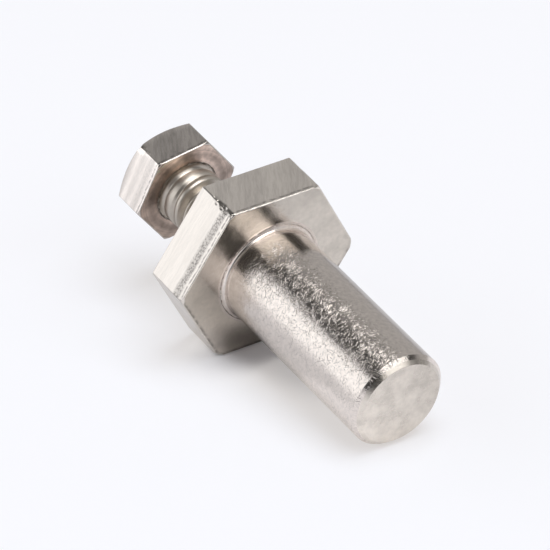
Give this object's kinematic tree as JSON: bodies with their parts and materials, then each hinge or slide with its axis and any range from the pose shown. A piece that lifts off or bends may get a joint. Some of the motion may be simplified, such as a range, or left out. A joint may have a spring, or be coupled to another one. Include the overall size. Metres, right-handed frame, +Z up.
{
  "type": "hinge pin screw",
  "caption": "Round hinge pin turned in one with a hexagon collar, and the hexagon head screw that clamps the collar to a hinge leaf.",
  "frame": {"origin": "on the surface that it lies on, under the middle of the whole", "axes": "+X along the pin towards its free end, seen from above; +Z up; the pin dips 9.4 degrees towards its free end, because it lies on the collar's edge and the pin's rim"},
  "size_m": [0.042, 0.0202, 0.0181],
  "materials": {
    "pin_steel": "turned, bright, scuffed by tumbling",
    "screw_steel": "rolled thread and formed head, bright, lightly worn"
  },
  "bodies": {
    "root": {"hinge_pin": "pin_steel", "hex_screw": "screw_steel"}
  },
  "joints": []
}
